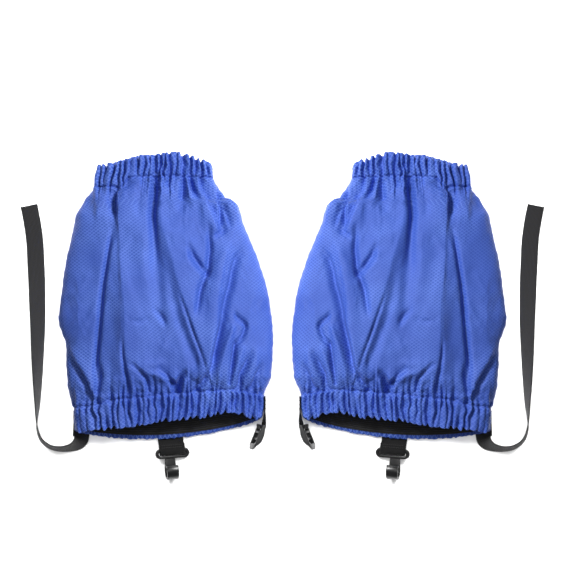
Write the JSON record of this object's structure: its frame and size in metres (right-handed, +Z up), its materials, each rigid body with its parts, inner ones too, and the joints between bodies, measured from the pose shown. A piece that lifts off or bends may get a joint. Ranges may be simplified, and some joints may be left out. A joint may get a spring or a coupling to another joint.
{
  "type": "gaiters",
  "caption": "Pair of short ankle gaiters: loose ripstop sleeves gathered by elastic at both ends, each with a lace hook, an under-foot webbing strap and a ladder-lock buckle.",
  "frame": {"origin": "on the surface that the pair lies on, under the middle of the pair without its straps", "axes": "+X from the left gaiter to the right one as laid out, +Y towards the sleeves' top cuffs, +Z up"},
  "size_m": [0.5236, 0.324, 0.036],
  "materials": {
    "ripstop": "lightly coated blue ripstop nylon, diamond weave",
    "elastic": "black ribbed elastic",
    "black_webbing": "black nylon webbing",
    "strap_webbing": "charcoal nylon webbing",
    "blue_thread": "blue sewing thread",
    "black_thread": "black sewing thread",
    "hook_plastic": "black moulded acetal"
  },
  "bodies": {
    "left_sleeve": {"left_rear_panel": "ripstop", "left_front_panel": "ripstop", "left_top_elastic": "elastic", "left_hem_elastic": "elastic", "left_strap_side_seam": "ripstop", "left_buckle_side_seam": "ripstop", "left_top_stitching": "blue_thread", "left_hem_stitching": "blue_thread", "left_hook_tab": "black_webbing", "left_hook_tab_stitching": "black_thread", "left_foot_strap": "strap_webbing", "left_foot_strap_stitching": "black_thread", "left_buckle_tab": "black_webbing", "left_buckle_tab_stitching": "black_thread"},
    "left_hook": {"left_lace_hook": "hook_plastic"},
    "left_buckle": {"left_ladder_buckle": "hook_plastic"},
    "right_sleeve": {"right_rear_panel": "ripstop", "right_front_panel": "ripstop", "right_top_elastic": "elastic", "right_hem_elastic": "elastic", "right_strap_side_seam": "ripstop", "right_buckle_side_seam": "ripstop", "right_top_stitching": "blue_thread", "right_hem_stitching": "blue_thread", "right_hook_tab": "black_webbing", "right_hook_tab_stitching": "black_thread", "right_foot_strap": "strap_webbing", "right_foot_strap_stitching": "black_thread", "right_buckle_tab": "black_webbing", "right_buckle_tab_stitching": "black_thread"},
    "right_hook": {"right_lace_hook": "hook_plastic"},
    "right_buckle": {"right_ladder_buckle": "hook_plastic"}
  },
  "joints": [
    {"name": "pair_slide", "type": "slide", "parent": "left_sleeve", "child": "right_sleeve", "axis": [1, 0, 0], "range_m": [0, 0.2]},
    {"name": "left_hook_hinge", "type": "hinge", "parent": "left_sleeve", "child": "left_hook", "pos_m": [-0.1102, -0.133, 0.006], "axis": [-0.9758, -0.0682, 0.2079], "range_deg": [0, 120]},
    {"name": "left_buckle_hinge", "type": "hinge", "parent": "left_sleeve", "child": "left_buckle", "pos_m": [-0.0211, -0.1092, 0.0125], "axis": [0.225, 0, 0.9744], "range_deg": [-55, 18]},
    {"name": "right_hook_hinge", "type": "hinge", "parent": "right_sleeve", "child": "right_hook", "pos_m": [0.1102, -0.133, 0.006], "axis": [-0.9758, 0.0682, -0.2079], "range_deg": [0, 120]},
    {"name": "right_buckle_hinge", "type": "hinge", "parent": "right_sleeve", "child": "right_buckle", "pos_m": [0.0211, -0.1092, 0.0125], "axis": [0.225, 0, -0.9744], "range_deg": [-55, 18]}
  ]
}
